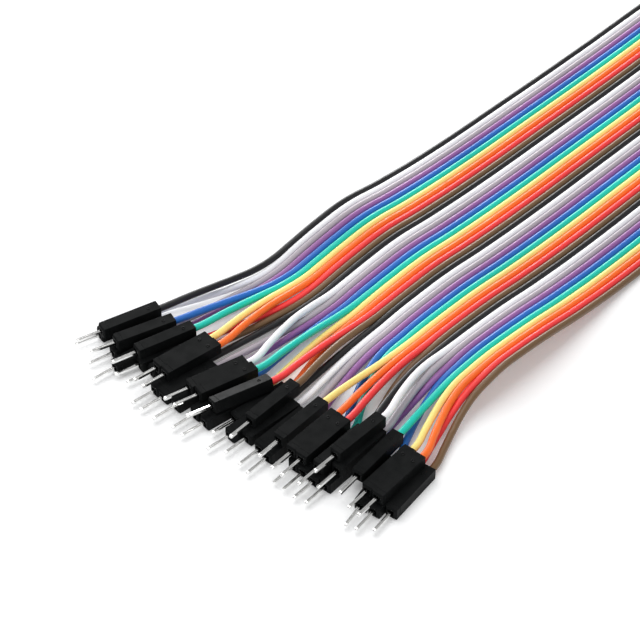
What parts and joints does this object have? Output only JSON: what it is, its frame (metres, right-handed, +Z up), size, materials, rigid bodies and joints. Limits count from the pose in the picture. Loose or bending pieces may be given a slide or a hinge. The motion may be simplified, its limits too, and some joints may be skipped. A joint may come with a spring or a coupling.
{
  "type": "breadboard jumper wire ribbon",
  "caption": "Flat ribbon of rainbow-coloured jumper wires for a solderless breadboard, each wire ending in slim black square housings with straight contact pins.",
  "frame": {"origin": "under the middle of the connectors of both ends, on the surface that the ribbon lies on", "axes": "+X along the ribbon from the near connectors to the far ones, +Y across it towards the first wire (black), +Z up"},
  "size_m": [0.244, 0.0766, 0.0075],
  "materials": {
    "housing_plastic": "satin black moulded plastic, with bright nickel-plated contact pins",
    "insulation_black": "satin PVC insulation",
    "insulation_white": "satin PVC insulation",
    "insulation_grey": "satin PVC insulation",
    "insulation_purple": "satin PVC insulation",
    "insulation_blue": "satin PVC insulation",
    "insulation_green": "satin PVC insulation",
    "insulation_yellow": "satin PVC insulation",
    "insulation_orange": "satin PVC insulation",
    "insulation_red": "satin PVC insulation",
    "insulation_brown": "satin PVC insulation"
  },
  "bodies": {
    "root": {"near_connectors_01": "housing_plastic", "near_connectors_02": "housing_plastic", "near_connectors_03": "housing_plastic", "near_connectors_04": "housing_plastic", "near_connectors_05": "housing_plastic", "near_connectors_06": "housing_plastic", "near_connectors_07": "housing_plastic", "near_connectors_08": "housing_plastic", "near_connectors_09": "housing_plastic", "near_connectors_10": "housing_plastic", "far_connectors_01": "housing_plastic", "far_connectors_02": "housing_plastic", "far_connectors_03": "housing_plastic", "far_connectors_04": "housing_plastic", "far_connectors_05": "housing_plastic", "wire_01_black": "insulation_black", "wire_02_white": "insulation_white", "wire_03_grey": "insulation_grey", "wire_04_purple": "insulation_purple", "wire_05_blue": "insulation_blue", "wire_06_green": "insulation_green", "wire_07_yellow": "insulation_yellow", "wire_08_orange": "insulation_orange", "wire_09_red": "insulation_red", "wire_10_brown": "insulation_brown", "wire_11_black": "insulation_black", "wire_12_white": "insulation_white", "wire_13_grey": "insulation_grey", "wire_14_purple": "insulation_purple", "wire_15_blue": "insulation_blue", "wire_16_green": "insulation_green", "wire_17_yellow": "insulation_yellow", "wire_18_orange": "insulation_orange", "wire_19_red": "insulation_red", "wire_20_brown": "insulation_brown", "wire_21_black": "insulation_black", "wire_22_white": "insulation_white", "wire_23_grey": "insulation_grey", "wire_24_purple": "insulation_purple", "wire_25_blue": "insulation_blue", "wire_26_green": "insulation_green", "wire_27_yellow": "insulation_yellow", "wire_28_orange": "insulation_orange", "wire_29_red": "insulation_red", "wire_30_brown": "insulation_brown", "wire_31_black": "insulation_black", "wire_32_white": "insulation_white", "wire_33_grey": "insulation_grey", "wire_34_purple": "insulation_purple", "wire_35_blue": "insulation_blue", "wire_36_green": "insulation_green", "wire_37_yellow": "insulation_yellow", "wire_38_orange": "insulation_orange", "wire_39_red": "insulation_red", "wire_40_brown": "insulation_brown"}
  },
  "joints": []
}
